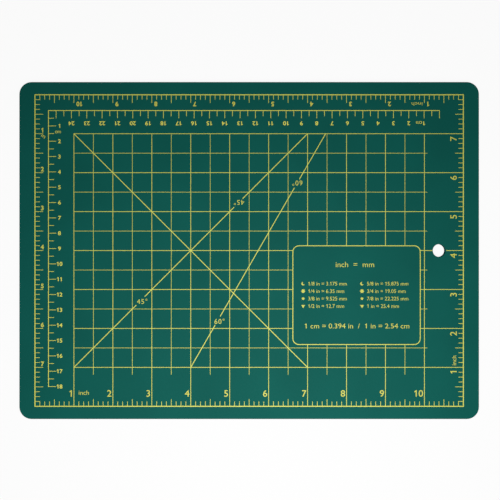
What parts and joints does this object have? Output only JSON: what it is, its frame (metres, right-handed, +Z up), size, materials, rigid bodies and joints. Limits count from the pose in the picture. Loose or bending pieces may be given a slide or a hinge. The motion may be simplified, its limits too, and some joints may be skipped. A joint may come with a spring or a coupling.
{
  "type": "rotary cutting mat",
  "caption": "Self-healing rotary cutting mat: a thin three-ply board with rounded corners, a hanging hole, a printed inch grid, guide lines and inch and centimetre rulers.",
  "frame": {"origin": "middle of the underside, on the surface that the mat lies on", "axes": "+X along the long side, towards the hanging hole; +Y across the short side, towards the centimetre ruler's long arm; +Z up, out of the printed face"},
  "size_m": [0.3, 0.22, 0.0031],
  "materials": {
    "cutting_sheet": "dark green soft PVC with a fine pebbled matte surface",
    "core": "firmer dark grey-green PVC, seen only at the cut edge and in the hole",
    "ink": "yellow screen-printing ink, satin"
  },
  "bodies": {
    "root": {"upper_cutting_sheet": "cutting_sheet", "core_sheet": "core", "lower_cutting_sheet": "cutting_sheet", "inch_ruler_print": "ink", "cutting_grid_print": "ink", "metric_ruler_print": "ink"}
  },
  "joints": []
}
